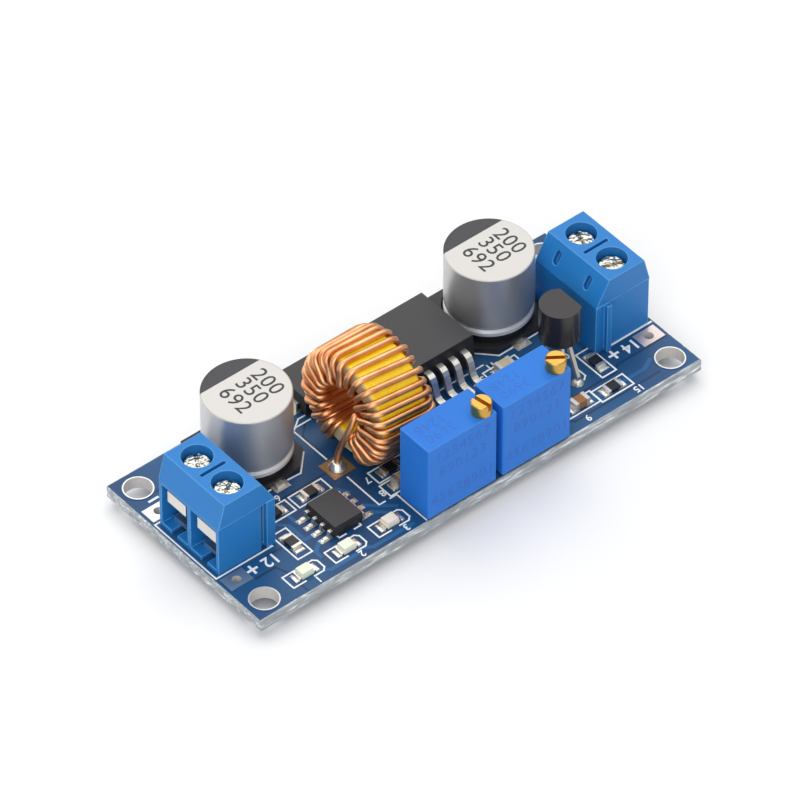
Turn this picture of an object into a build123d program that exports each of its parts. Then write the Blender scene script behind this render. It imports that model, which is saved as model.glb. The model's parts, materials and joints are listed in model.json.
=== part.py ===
from build123d import *
import os
from math import cos, sin, pi, radians, sqrt, exp

os.makedirs("parts", exist_ok=True)

# Sizes are in millimetres. Places are measured from the front left corner of the board's top face.

# Board
board_length = 61.7
board_width = 26.2
board_thickness = 1.5
mount_inset = 2.4
mount_hole = 3.2
mount_ring = 3.7
plate = 0.05
wire_pad_hole = 1.1
wire_pad_x = 3.0
wire_pad_y = 2.1
wire_pad_side = 1.93
wire_pad_rows = (6.47, 19.73)
pin_clearance = 0.1
joint_height = 1.2
home = Pos(-board_length / 2, -board_width / 2, board_thickness + joint_height)
seat = plate

# Screw terminals
pole_pitch = 5.08
block_width = 2 * pole_pitch
block_height = 10.0
block_depth = 7.65
out_face = 0.85
in_face = 61.05
block_y = 13.1
crown_front = 0.85
crown_back = 5.85
shoulder = 6.8
side_wall = 0.45
mid_wall = 0.5
floor = 0.5
cell_top = 6.3
cell_depth = 6.45
screw_place = 3.3
recess = 3.5
screw_head = 3.0
screw_head_height = 0.9
screw_top = 9.0
screw_shank = 2.5
screw_slot = 0.45
thread_clearance = 0.05
sheet = 0.3
contact_sheet = 0.6
contact_width = 3.4
leaf_width = 3.1
leaf_back = 5.4
leaf_front = 0.55
leaf_top = 5.5
leaf_drop = 3.9
lip_front = 1.45
foot_front = 1.3
terminal_pin = 1.0

# Electrolytic capacitors
can = 10.0
can_top = 10.2
base_width = 10.2
base_plate = 0.7
base_height = 1.6
base_posts = 1.9
base_cut = 2.0
tab = 1.0
tab_sheet = 0.3
tab_reach = (2.4, 5.75)
left_can = (14.29, 19.85)
right_can = (48.27, 19.95)

# Trimmers
trimmer_length = 9.53
trimmer_width = 4.83
trimmer_height = 10.03
trimmer_foot = 0.4
trimmer_gap = 0.87
trimmer_left = 23.0
trimmer_front = 0.02
trimmer_screw = 2.3
trimmer_screw_height = 1.5
trimmer_screw_inset = 1.2
trimmer_stem = 1.6
stem_clearance = 0.05
trimmer_pitch = 2.54
trimmer_pin = 0.5

# Inductor, a ring core that stands on its edge with its axis along X
core_outer = 12.7
core_inner = 7.7
core_width = 6.35
core_edge = 0.5
wire = 0.75
wire_gap = 0.03
wire_sides = 6
ring_x = 25.75
ring_y = 13.35
ring_z = 7.3
first_turn = -60.0
last_turn = 243.0
left_pad = (20.8, 12.6)
right_pad = (30.95, 14.3)


def box(x0, x1, y0, y1, z0, z1):
    return Pos((x0 + x1) / 2, (y0 + y1) / 2, (z0 + z1) / 2) * Box(x1 - x0, y1 - y0, z1 - z0)


def rod(x, y, z0, z1, radius):
    return Pos(x, y, (z0 + z1) / 2) * Cylinder(radius, z1 - z0)


def prism(points, y0, y1):
    """A side view in x and z, drawn out along y."""
    face = make_face(Plane.XZ * Polyline(*points, close=True))
    return Pos(0, (y0 + y1) / 2, 0) * extrude(face, amount=(y1 - y0) / 2, both=True)


def save(shape, name):
    export_step(home * shape, f"parts/{name}.step")


# A section carried along a bent path, with a mitre at each bend
def bent(path, section, side):
    path = [Vector(*p) for p in path]
    ways = [(b - a).normalized() for a, b in zip(path, path[1:])]
    across = Vector(*side)
    across = (across - ways[0] * across.dot(ways[0])).normalized()
    up = ways[0].cross(across)
    rings = [[path[0] + across * u + up * v for u, v in section]]
    for i, way in enumerate(ways):
        after = ways[i + 1] if i + 1 < len(ways) else way
        mitre = (way + after).normalized()
        end = path[i + 1]
        rings.append([p + way * ((end - p).dot(mitre) / way.dot(mitre)) for p in rings[-1]])
    faces = [flat(rings[0]), flat(rings[-1])]
    n = len(section)
    for a, b in zip(rings, rings[1:]):
        faces += [flat([a[k], a[(k + 1) % n], b[(k + 1) % n], b[k]]) for k in range(n)]
    return Solid(Shell(faces))


def flat(points):
    return Face(Wire.make_polygon(points, close=True))


def bar(width, thickness):
    w, t = width / 2, thickness / 2
    return [(-w, -t), (w, -t), (w, t), (-w, t)]


def round_bar(radius, sides):
    return [(radius * cos(2 * pi * k / sides), radius * sin(2 * pi * k / sides)) for k in range(sides)]


def drafted(x0, x1, y0, y1, z0, zm, z1, draft):
    """A moulded body, widest at the height zm."""
    def level(z, inset):
        return [(x0 + inset, y0 + inset, z), (x1 - inset, y0 + inset, z),
                (x1 - inset, y1 - inset, z), (x0 + inset, y1 - inset, z)]
    rings = [level(z0, draft * (zm - z0)), level(zm, 0), level(z1, draft * (z1 - zm))]
    faces = [flat(rings[0]), flat(rings[2])]
    for a, b in zip(rings, rings[1:]):
        faces += [flat([a[k], a[(k + 1) % 4], b[(k + 1) % 4], b[k]]) for k in range(4)]
    return Solid(Shell(faces))


# Where every pin goes through the board: x, y and pin radius
def pole_rows():
    return [block_y - pole_pitch / 2, block_y + pole_pitch / 2]


def screw_axis(face, turn):
    return face + turn * screw_place


def trimmer_starts():
    return [trimmer_left, trimmer_left + trimmer_length + trimmer_gap]


def trimmer_pins(start):
    middle = start + trimmer_length / 2
    return [(middle + k * trimmer_pitch, trimmer_front + trimmer_width / 2) for k in (-1, 0, 1)]


regulator_foot = (49.0, 8.4)
regulator_pad_pitch = 2.55
regulator_pads = [(regulator_foot[0], regulator_foot[1] + k * regulator_pad_pitch) for k in (-1, 0, 1)]


def pins():
    spots = []
    for face, turn in ((out_face, 1), (in_face, -1)):
        spots += [(screw_axis(face, turn), y, terminal_pin / 2) for y in pole_rows()]
    for start in trimmer_starts():
        spots += [(x, y, trimmer_pin / 2) for x, y in trimmer_pins(start)]
    spots += [(x, y, 0.24) for x, y in regulator_pads]
    spots += [(x, y, wire / 2) for x, y in (left_pad, right_pad)]
    return spots


def mount_spots():
    rows = (mount_inset, board_width - mount_inset)
    return [(x, y) for x in (mount_inset, board_length - mount_inset) for y in rows]


def wire_pads():
    return [(x, y) for x in (wire_pad_side, board_length - wire_pad_side) for y in wire_pad_rows]


# Surface parts: centre, and the axis their two ends lie on
resistors = [(9.75, 6.8, "y"), (16.06, 11.4, "x"), (11.05, 11.4, "x"),
             (24.95, 8.8, "x"), (52.6, 7.0, "y"), (51.4, 2.87, "x")]
ceramics = [(46.95, 3.15, "x"), (44.3, 12.6, "x"), (24.65, 6.5, "x")]
lamps = [(8.0, 2.55, "x"), (13.78, 2.55, "x"), (19.75, 2.55, "x")]
chip_length = 2.0
chip_width = 1.25

# Power chip, rectifier and amplifier
power_x = (32.1, 42.3)
power_y = (15.2, 24.2)
power_pitch = 1.7
power_lead = 0.8
power_lead_sheet = 0.5
power_lead_height = 2.95
power_lead_end = 10.2
power_pad = (1.1, 3.0)
power_pad_y = 11.3
power_tab_y = (16.4, 25.2)
power_tab_top = 1.3
power_tab_field = (21.4, 10.4, 8.6)
power_top = 4.5
rectifier_x = (23.0, 30.1)
rectifier_y = (20.6, 26.05)
rectifier_top = 2.6
rectifier_lead = 3.0
rectifier_lead_sheet = 0.24
rectifier_lead_height = 1.2
amp_centre = (15.7, 6.9)
amp_pitch = 1.27
amp_reach = 3.0
amp_body = (3.9, 4.9)
amp_top = 1.6
amp_lead = 0.42
amp_lead_sheet = 0.2
amp_lead_height = 0.85
regulator_centre = (49.5, 9.5)
regulator_radius = 2.35
regulator_flat = 1.5
regulator_low = 4.4
regulator_top = 9.0
regulator_lead = 0.42
regulator_lead_pitch = 1.27


def power_lead_places():
    middle = sum(power_x) / 2
    return [middle + k * power_pitch for k in (-2, -1, 0, 1, 2)]


def amp_rows():
    return [amp_centre[1] + k * amp_pitch for k in (-1.5, -0.5, 0.5, 1.5)]


def pads():
    """Bare tinned fields on the top face: centre x, centre y, length x, length y."""
    fields = []
    for x, y, axis in resistors + ceramics + lamps:
        for way in (-1, 1):
            if axis == "x":
                fields.append((x + way * 1.0, y, 1.1, 1.3))
            else:
                fields.append((x, y + way * 1.0, 1.3, 1.1))
    for y in amp_rows():
        fields += [(amp_centre[0] + way * 2.75, y, 1.6, 0.65) for way in (-1, 1)]
    fields += [(x, power_pad_y, *power_pad) for x in power_lead_places()]
    fields.append((sum(power_x) / 2, *power_tab_field))
    fields += [(x, sum(rectifier_y) / 2, 2.2, 3.3) for x in (rectifier_x[0] - 0.5, rectifier_x[1] + 0.6)]
    for x, y in (left_can, right_can):
        fields += [(x, y + way * 4.6, 2.0, 3.2) for way in (-1, 1)]
    return fields


def pcb():
    board = box(0, board_length, 0, board_width, -board_thickness, 0)
    holes = [(x, y, mount_hole / 2) for x, y in mount_spots()]
    holes += [(x, y, wire_pad_hole / 2) for x, y in wire_pads()]
    holes += [(x, y, r + pin_clearance) for x, y, r in pins()]
    return board - [rod(x, y, -board_thickness - 1, 1, r) for x, y, r in holes]


def field(x, y, length, width, z):
    return box(x - length / 2, x + length / 2, y - width / 2, y + width / 2, z, z + plate)


def plating():
    """Ring and wire pads on both faces, solder pads on the top face."""
    low = -board_thickness - plate
    fields = []
    for z in (low, 0):
        for x, y in mount_spots():
            ring = rod(x, y, z, z + plate, mount_ring / 2)
            fields.append(ring - rod(x, y, z - 1, z + 1, mount_hole / 2))
        for x, y in wire_pads():
            pad = field(x, y, wire_pad_x, wire_pad_y, z)
            fields.append(pad - rod(x, y, z - 1, z + 1, wire_pad_hole / 2))
    for (x, y), length, width in ((left_pad, 3.0, 2.8), (right_pad, 2.2, 2.6)):
        fields.append(field(x, y, length, width, 0) - rod(x, y, -1, 1, wire / 2 + pin_clearance))
    fields += [field(x, y, length, width, 0) for x, y, length, width in pads()]
    return Compound(fields)


def underside_joints():
    """A cone of solder round each pin tip; the module stands on the tips."""
    under = -board_thickness
    joints = []
    for x, y, r in pins():
        cone = Pos(x, y, under - 0.4) * Rot(180, 0, 0) * Cone(r + 0.5, r + 0.08, 0.8)
        joints.append(cone + rod(x, y, under - joint_height, under - 0.7, r))
    return Compound(joints)


# Screw terminal: the open faces look out over the short edges of the board
def place_block(shape, face, turn):
    spin = 0 if turn > 0 else 180
    return Pos(face, block_y, 0) * Rot(0, 0, spin) * shape


def housing():
    half = block_width / 2
    outline = [(0, 0), (0, shoulder), (crown_front, block_height), (crown_back, block_height),
               (block_depth, shoulder), (block_depth, 0)]
    block = prism(outline, -half, half)
    step = 0.1
    rib = 1.1
    groove = 0.75
    for side in (-1, 1):
        wall = side * (half - step / 2)
        block -= box(0, block_depth - rib - groove, wall - step / 2, wall + step / 2, -1, shoulder)
    start = block_depth - rib - groove
    block -= box(start, start + groove, -half - 1, -half + 0.6, -1, shoulder)
    block += box(start + 0.06, start + groove - 0.06, half - 0.1, half + 0.55, 0, shoulder)
    cell = (block_width - 2 * side_wall - mid_wall) / 2
    for row in (-pole_pitch / 2, pole_pitch / 2):
        middle = (mid_wall + cell) / 2 * (1 if row > 0 else -1)
        block -= box(-1, cell_depth, middle - cell / 2, middle + cell / 2, floor, cell_top)
        block -= box(-1, screw_place + terminal_pin / 2 + 0.1, row - 0.5, row + 0.5, -1, floor + 0.1)
        block -= rod(screw_place, row, -1, floor + 0.1, terminal_pin / 2 + 0.1)
        block -= rod(screw_place, row, cell_top - 0.1, block_height + 1, recess / 2)
        slope = Pos(crown_back + (block_depth - crown_back) / 2, row, (block_height + shoulder) / 2)
        block -= slope * Rot(0, 60.6, 0) * extrude(SlotOverall(1.75, 0.85), amount=0.7, both=True)
    block -= box(1.7, 5.1, -screw_slot / 2, screw_slot / 2, block_height - 0.9, block_height + 1)
    return block


def contact(row):
    """Tinned strap: threaded lip on top, back wall, foot, and the pin through the board."""
    half = contact_sheet / 2
    low, top = floor + half, cell_top - half
    back = cell_depth - half
    strap = bent([(foot_front, row, low), (back, row, low), (back, row, top), (lip_front, row, top)],
                 bar(contact_width, contact_sheet), (0, 1, 0))
    strap -= rod(screw_place, row, top - 1, top + 1, screw_shank / 2 + thread_clearance)
    return strap + rod(screw_place, row, -board_thickness, low, terminal_pin / 2)


def leaf(row):
    """Pressure plate under the screw tip, its front tab hanging in the wire opening."""
    half = sheet / 2
    return bent([(leaf_back, row, leaf_top - half), (leaf_front, row, leaf_top - half),
                 (leaf_front, row, leaf_drop)],
                bar(leaf_width, sheet), (0, 1, 0))


def clamp_screw(row, angle):
    low = screw_top - screw_head_height
    head = rod(screw_place, row, low, screw_top, screw_head / 2)
    head = chamfer(head.edges().sort_by(Axis.Z)[-1], 0.15)
    screw = head + rod(screw_place, row, leaf_top, low, screw_shank / 2)
    cut = Pos(screw_place, row, screw_top) * Rot(0, 0, angle) * Box(screw_head + 1, 0.5, 1.0)
    return screw - cut


def capacitor_base(x, y):
    """Plate with two cut corners, a round seat, and two posts that rise behind the can."""
    half = base_width / 2
    outline = [(x - half + base_cut, y - half), (x + half - base_cut, y - half),
               (x + half, y - half + base_cut), (x + half, y + half),
               (x - half, y + half), (x - half, y - half + base_cut)]
    plan = make_face(Polyline(*outline, close=True))
    base = Pos(0, 0, seat) * extrude(plan, amount=base_plate - seat)
    base += rod(x, y, base_plate, base_height, can / 2 - 0.3)
    posts = Pos(0, 0, base_plate) * extrude(plan, amount=base_posts - base_plate)
    posts -= box(x - half - 1, x + half + 1, y - half - 1, y + 2.0, -1, can_top)
    base += posts - rod(x, y, -1, can_top, half + 0.1)
    gap = tab / 2 + 0.05
    return base - box(x - gap, x + gap, y - half - 1, y + half + 1, -1, seat + tab_sheet + 0.05)


def capacitor_can(x, y):
    """Drawn can with a bead low on its side."""
    r = can / 2
    edge = 0.2
    outline = Polyline((0, can_top), (0, base_height), (r - 0.25, base_height), (r, base_height + 0.2),
                       (r, base_height + 0.65), (r - 0.2, base_height + 0.95),
                       (r - 0.2, base_height + 1.15), (r, base_height + 1.5), (r, can_top - edge))
    rim = RadiusArc((r, can_top - edge), (r - edge, can_top), -edge)
    close = Line((r - edge, can_top), (0, can_top))
    return Pos(x, y, 0) * revolve(make_face(Plane.XZ * (outline + rim + close)), Axis.Z)


def capacitor_leads(x, y):
    tabs = []
    for way in (-1, 1):
        near, far = sorted(y + way * reach for reach in tab_reach)
        tabs.append(box(x - tab / 2, x + tab / 2, near, far, seat, seat + tab_sheet))
    return Compound(tabs)


def trimmer_body(start):
    low, top = trimmer_foot, trimmer_foot + trimmer_height
    front, back = trimmer_front, trimmer_front + trimmer_width
    end = start + trimmer_length
    body = box(start, end, front, back, low, top)
    body = fillet(body.edges().filter_by(Axis.Z), 0.2)
    body = chamfer(body.faces().sort_by(Axis.Z)[-1].edges(), 0.08)
    for x in (start + 0.7, end - 0.7):
        for y in (front + 0.7, back - 0.7):
            body += box(x - 0.4, x + 0.4, y - 0.4, y + 0.4, 0, low)
    bore = trimmer_stem / 2 + stem_clearance
    return body - rod(end - trimmer_screw_inset, front + trimmer_screw_inset, top - 3.0, top + 1, bore)


def trimmer_adjuster(start, angle):
    x = start + trimmer_length - trimmer_screw_inset
    y = trimmer_front + trimmer_screw_inset
    base = trimmer_foot + trimmer_height
    top = base + trimmer_screw_height
    head = rod(x, y, base, top, trimmer_screw / 2)
    head = chamfer(head.edges().sort_by(Axis.Z)[-1], 0.1)
    cut = Pos(x, y, top) * Rot(0, 0, angle) * Box(trimmer_screw + 1, 0.5, 1.6)
    return head + rod(x, y, base - 2.9, base, trimmer_stem / 2) - cut


def trimmer_leads(start):
    radius = trimmer_pin / 2
    return Compound([rod(x, y, -board_thickness, trimmer_foot, radius) for x, y in trimmer_pins(start)])


# Inductor
face_run = core_width / 2 + wire_gap + wire / 2
run_out = core_outer / 2 + wire_gap + wire / 2
run_in = core_inner / 2 - wire_gap - wire / 2


def pitch(angle):
    """Degrees to the next turn; the turns spread over the upper front."""
    return 8.8 + 4.6 * exp(-((angle - 122) / 38) ** 2)


def lift(step, radius):
    """How far every other turn rides over its neighbours at this radius."""
    clear = wire + 0.05
    return sqrt(max(clear ** 2 - (radians(step) * radius) ** 2, 0))


def spot(radius, angle, along):
    a = radians(angle)
    return (ring_x + along, ring_y + radius * cos(a), ring_z + radius * sin(a))


def face_path(angle, side, step, raised):
    """Over one face, from the rim to the hole."""
    edge = core_width / 2
    path = [spot(run_out, angle, side * (edge - 0.05)), spot(run_out - 0.42, angle, side * face_run)]
    if not raised:
        path.append(spot(run_in + 0.42, angle, side * face_run))
        return path + [spot(run_in, angle, side * (edge - 0.05))]
    for radius in (5.3, 4.4):
        path.append(spot(radius, angle, side * (face_run + lift(step, radius))))
    hem = run_in + 0.1
    path.append(spot(hem, angle, side * (face_run + lift(step, hem) + 0.08)))
    return path + [spot(run_in - lift(step, 3.1), angle, side * (edge + 0.1))]


def winding_path():
    start = spot(6.2, first_turn, face_run + 1.3)
    path = [(*right_pad, -board_thickness), (*right_pad, 0.9), start]
    angle = first_turn
    raised = False
    while angle < last_turn:
        step = pitch(angle)
        right = face_path(angle, 1, step, raised)
        left = face_path(angle + step / 2, -1, step, raised)
        path += right if angle > first_turn else right[1:]
        path += reversed(left)
        angle += step
        raised = not raised
    path += face_path(angle, 1, step, False)[:2]
    for radius, out in ((5.3, 0.2), (3.7, 1.3), (2.8, 1.45)):
        path.append(spot(radius, angle, face_run + out))
    path += [spot(1.95, angle - 4, face_run + 0.3), spot(1.95, 205, -face_run - 0.6)]
    path.append(spot(2.7, 222, -face_run - 1.6))
    return path + [(*left_pad, 1.9), (*left_pad, -board_thickness)]


def inductor_winding():
    return bent(winding_path(), round_bar(wire / 2, wire_sides), (1, 0.3, 0))


def inductor_core():
    ring = Cylinder(core_outer / 2, core_width) - Cylinder(core_inner / 2, core_width + 1)
    ring = fillet(ring.edges().filter_by(GeomType.CIRCLE), core_edge)
    return Pos(ring_x, ring_y, ring_z) * Rot(0, 90, 0) * ring


# Chips
def power_body():
    return drafted(*power_x, *power_y, seat + 0.05, 1.4, power_top, 0.06)


def power_leads():
    front = power_y[0]
    metal = [box(power_x[0] + 0.2, power_x[1] - 0.2, *power_tab_y, seat, power_tab_top)]
    high, low = power_lead_height, seat + power_lead_sheet / 2
    for x in power_lead_places():
        bends = ((0.6, high), (-0.5, high), (-0.85, high - 0.2), (-1.1, high - 0.6), (-1.5, low + 0.8),
                 (-1.75, low + 0.3), (-2.15, low), (power_lead_end - front, low))
        path = [(x, front + along, z) for along, z in bends]
        metal.append(bent(path, bar(power_lead, power_lead_sheet), (1, 0, 0)))
    return metal


def rectifier_body():
    return drafted(*rectifier_x, *rectifier_y, seat + 0.1, rectifier_lead_height, rectifier_top, 0.1)


def rectifier_leads():
    y = sum(rectifier_y) / 2
    high, low = rectifier_lead_height, seat + rectifier_lead_sheet / 2
    metal = []
    for x, way in ((rectifier_x[0], -1), (rectifier_x[1], 1)):
        bends = ((-0.5, high), (0.25, high), (0.25, low), (-0.8, low))
        path = [(x + way * along, y, z) for along, z in bends]
        metal.append(bent(path, bar(rectifier_lead, rectifier_lead_sheet), (0, 1, 0)))
    return metal


def amp_case():
    x, y = amp_centre
    half_x, half_y = amp_body[0] / 2, amp_body[1] / 2
    return drafted(x - half_x, x + half_x, y - half_y, y + half_y,
                   seat + 0.1, amp_lead_height, amp_top, 0.12)


def amp_leads():
    metal = []
    for y in amp_rows():
        for way in (-1, 1):
            high, low = amp_lead_height, seat + amp_lead_sheet / 2
            bends = ((1.7, high), (2.3, high), (2.5, low), (amp_reach + 0.1, low))
            path = [(amp_centre[0] + way * reach, y, z) for reach, z in bends]
            metal.append(bent(path, bar(amp_lead, amp_lead_sheet), (0, 1, 0)))
    return metal


def regulator_body():
    x, y = regulator_centre
    body = rod(x, y, regulator_low, regulator_top, regulator_radius)
    wide = 2 * regulator_radius
    return body - box(x + regulator_flat, x + wide, y - wide, y + wide,
                      regulator_low - 1, regulator_top + 1)


def regulator_leads():
    metal = []
    inside = regulator_centre[0] + 0.2
    for k, (x, y) in zip((-1, 0, 1), regulator_pads):
        along = regulator_centre[1] + k * regulator_lead_pitch
        path = [(x, y, -board_thickness), (x, y, 1.0), (inside, along, regulator_low - 0.8),
                (inside, along, regulator_low + 0.5)]
        metal.append(bent(path, bar(regulator_lead, regulator_lead), (1, 0, 0)))
    return metal


def turned(shape, x, y, axis):
    return Pos(x, y, seat) * Rot(0, 0, 0 if axis == "x" else 90) * shape


def chip(height, cap):
    """Ceramic block with a metal cap, slightly proud, on each end."""
    body = Pos(0, 0, height / 2) * Box(chip_length - 0.04, chip_width - 0.06, height - 0.06)
    for way in (-1, 1):
        body += Pos(way * (chip_length - cap) / 2, 0, height / 2) * Box(cap, chip_width, height)
    return body


def lamp():
    """Flat carrier with a moulded lens between two solder ends."""
    body = Pos(0, 0, 0.18) * Box(2.2, 1.3, 0.36)
    lens = extrude(Pos(0, 0, 0.36) * Rectangle(1.6, 1.3), amount=0.42, taper=8)
    return body + lens


def cuts(body, metal):
    for piece in metal:
        body -= piece
    return body


def main():
    save(pcb(), "pcb")
    save(plating(), "pcb_plating")
    save(underside_joints(), "underside_solder")
    for name, face, turn, angles in (("out", out_face, 1, (35, 60)), ("in", in_face, -1, (-20, 75))):
        save(place_block(housing(), face, turn), f"{name}_terminal_housing")
        for pole, way, angle in (("plus", -1, angles[0]), ("minus", 1, angles[1])):
            row = way * turn * pole_pitch / 2
            save(place_block(contact(row), face, turn), f"{name}_{pole}_contact")
            save(place_block(leaf(row), face, turn), f"{name}_{pole}_pressure_plate")
            save(place_block(clamp_screw(row, angle), face, turn), f"{name}_{pole}_screw")
    for name, (x, y) in (("output", left_can), ("input", right_can)):
        save(capacitor_base(x, y), f"{name}_capacitor_base")
        save(capacitor_can(x, y), f"{name}_capacitor_can")
        save(capacitor_leads(x, y), f"{name}_capacitor_leads")
    for name, start, angle in zip(("left", "right"), trimmer_starts(), (-80, -37)):
        save(trimmer_body(start), f"{name}_trimmer_body")
        save(trimmer_adjuster(start, angle), f"{name}_trimmer_screw")
        save(trimmer_leads(start), f"{name}_trimmer_pins")
    save(inductor_core(), "inductor_core")
    save(inductor_winding(), "inductor_winding")
    for name, body, metal in (("power_chip", power_body(), power_leads()),
                              ("rectifier", rectifier_body(), rectifier_leads()),
                              ("amplifier", amp_case(), amp_leads()),
                              ("regulator", regulator_body(), regulator_leads())):
        save(cuts(body, metal), f"{name}_body")
        save(Compound(metal), f"{name}_leads")
    for k, (x, y, axis) in enumerate(resistors):
        save(turned(chip(0.5, 0.35), x, y, axis), f"chip_resistor_{k + 1}")
    for k, (x, y, axis) in enumerate(ceramics):
        save(turned(chip(1.0, 0.45), x, y, axis), f"chip_capacitor_{k + 1}")
    for k, (x, y, axis) in enumerate(lamps):
        save(turned(lamp(), x, y, axis), f"indicator_{k + 1}")


main()
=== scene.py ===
import bpy
import json
import math
import random
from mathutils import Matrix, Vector

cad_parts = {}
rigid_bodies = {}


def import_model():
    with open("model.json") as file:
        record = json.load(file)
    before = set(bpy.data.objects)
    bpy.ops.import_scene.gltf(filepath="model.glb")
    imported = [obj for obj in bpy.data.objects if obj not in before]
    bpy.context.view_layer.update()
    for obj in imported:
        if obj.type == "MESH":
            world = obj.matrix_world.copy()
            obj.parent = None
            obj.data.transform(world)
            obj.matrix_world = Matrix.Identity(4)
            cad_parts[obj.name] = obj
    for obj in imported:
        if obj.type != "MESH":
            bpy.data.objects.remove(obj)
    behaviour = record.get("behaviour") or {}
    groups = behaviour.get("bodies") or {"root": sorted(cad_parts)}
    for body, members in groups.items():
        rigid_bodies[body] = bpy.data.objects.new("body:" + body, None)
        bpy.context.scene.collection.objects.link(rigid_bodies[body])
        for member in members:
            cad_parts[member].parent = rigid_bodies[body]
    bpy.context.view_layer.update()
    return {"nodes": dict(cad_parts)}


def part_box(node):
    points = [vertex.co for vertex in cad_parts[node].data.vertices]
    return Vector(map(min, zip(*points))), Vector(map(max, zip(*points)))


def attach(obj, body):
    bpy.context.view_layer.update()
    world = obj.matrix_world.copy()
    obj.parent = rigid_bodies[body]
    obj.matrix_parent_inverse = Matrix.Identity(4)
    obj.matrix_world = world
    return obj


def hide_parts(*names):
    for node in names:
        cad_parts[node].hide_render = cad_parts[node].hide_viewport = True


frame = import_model()
mm = 0.001
random.seed(4)
print("frame loaded:", len(frame["nodes"]), "nodes")

# The board is read from the frame, and places are measured from its front left top corner
boardLo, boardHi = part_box("pcb")
boardTop = boardHi.z
corner = Vector((boardLo.x, boardLo.y, boardTop))


def onBoard(x, y, z=0.0):  # millimetres from the corner
    return corner + Vector((x, y, z)) * mm


def local(p):  # the other way: a point of the frame in millimetres from the corner
    return (p - corner) / mm


def deselect():
    if bpy.context.object and bpy.context.object.mode != "OBJECT":
        bpy.ops.object.mode_set(mode="OBJECT")
    bpy.ops.object.select_all(action="DESELECT")


def pick(*objs):
    deselect()
    for o in objs:
        o.select_set(True)
    bpy.context.view_layer.objects.active = objs[-1]


def settle(obj):  # the piece's place goes into its mesh
    pick(obj)
    bpy.ops.object.transform_apply(location=True, rotation=True, scale=True)


def joinAll(objs, name):
    pick(*objs)
    if len(objs) > 1:
        bpy.ops.object.join()
    obj = bpy.context.object
    settle(obj)
    obj.name = name
    obj.data.name = name
    return obj


def dress(obj, material, body="board"):
    obj.data.materials.clear()
    obj.data.materials.append(material)
    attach(obj, body)
    return obj


def paint(material, *nodes):  # a CAD node keeps its mesh and takes a better material
    for name in nodes:
        obj = frame["nodes"][name]
        meshes = [obj] if obj.type == "MESH" else []
        meshes += [c for c in obj.children_recursive if c.type == "MESH"]
        for m in meshes:
            for s in m.material_slots:
                s.material = material


def linear(code):
    channels = [int(code[i:i + 2], 16) / 255 for i in (1, 3, 5)]
    return [c / 12.92 if c <= 0.04045 else ((c + 0.055) / 1.055) ** 2.4 for c in channels] + [1.0]


def addNode(tree, kind, links=None, stops=(), **settings):  # links may also be plain values; stops are a ramp's
    node = tree.nodes.new("ShaderNode" + kind)
    for key, value in settings.items():
        setattr(node, key, value)
    for key, value in (links or {}).items():
        if isinstance(value, bpy.types.NodeSocket):
            tree.links.new(value, node.inputs[key])
        else:
            node.inputs[key].default_value = value
    if stops:
        elements = node.color_ramp.elements
        while len(elements) < len(stops):
            elements.new(0.5)
        for element, (at, colour) in zip(elements, stops):
            element.position = at
            element.color = linear(colour)
    return node.outputs


def surface(name, look, metallic=0.0, **more):
    material = bpy.data.materials.new(name)
    material.use_nodes = True
    tree = material.node_tree
    shader = tree.nodes["Principled BSDF"]
    shader.inputs["Base Color"].default_value = linear(look["colour"])
    shader.inputs["Metallic"].default_value = metallic
    shader.inputs["Roughness"].default_value = look["roughness"]
    for key, value in more.items():
        shader.inputs[key.replace("_", " ")].default_value = value
    return material, tree, shader, addNode(tree, "TexCoord")["Object"]


def grain(tree, shader, place, look, normal=None):  # relief of the look's grain size, which gives its noise back
    noise = addNode(tree, "TexNoise", {"Vector": place, "Scale": 1000 / look["grainMm"],
                                       "Detail": look.get("detail", 2.0), "Roughness": look.get("rough", 0.55)})
    relief = {"Height": noise["Fac"], "Distance": look["highMm"] * mm, "Strength": look["share"]}
    if normal is not None:
        relief["Normal"] = normal
    tree.links.new(addNode(tree, "Bump", relief)[0], shader.inputs["Normal"])
    return noise["Fac"]


def grainy(name, look, metallic=0.0):  # one colour all over, with a grain
    material, tree, shader, place = surface(name, look, metallic)
    grain(tree, shader, place, look)
    return material


def facing(tree, axis):  # how squarely the surface faces along an axis, either way
    direction = addNode(tree, "NewGeometry")["True Normal"]
    part = addNode(tree, "SeparateXYZ", {"Vector": direction})[axis]
    return addNode(tree, "Math", {0: part}, operation="ABSOLUTE")[0]


def roundEdgesAndPaintedHighlight(tree, shader, look, baseColour):  # moulded edges are round, and their thin rim is painted paler as a painted highlight
    soft = addNode(tree, "Bevel", {"Radius": look["bevelMm"] * mm}, samples=6)[0]
    flat = addNode(tree, "NewGeometry")["True Normal"]
    same = addNode(tree, "VectorMath", {0: soft, 1: flat}, operation="DOT_PRODUCT")["Value"]
    # painted highlight: the look's edge colour goes where the rounded normal parts from the flat one
    edge = addNode(tree, "ValToRGB", {"Fac": same}, [(0.86, "#ffffff"), (0.985, "#000000")])[0]
    edge = addNode(tree, "Math", {0: edge, 1: look["edgeHighlightShare"]}, operation="MULTIPLY")[0]
    colour = addNode(tree, "Mix", {0: edge, 6: baseColour, 7: linear(look["edge"])}, data_type="RGBA")[2]
    tree.links.new(colour, shader.inputs["Base Color"])
    return soft


# Solder mask: blue varnish, screen printed over copper and glass fibre. It gives a deep, nearly even blue with a
# soft sheen, a little lighter where tracks lie under it and darker over the gaps between the copper fields
maskLook = {"colour": "#17507f", "dark": "#12406c", "overCopper": "#1e5e92", "overLaminate": "#0f3157",
            "roughness": 0.42, "specular": 0.35, "coat": 0.1, "coatRoughness": 0.2, "patchMm": 12.0}

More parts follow.
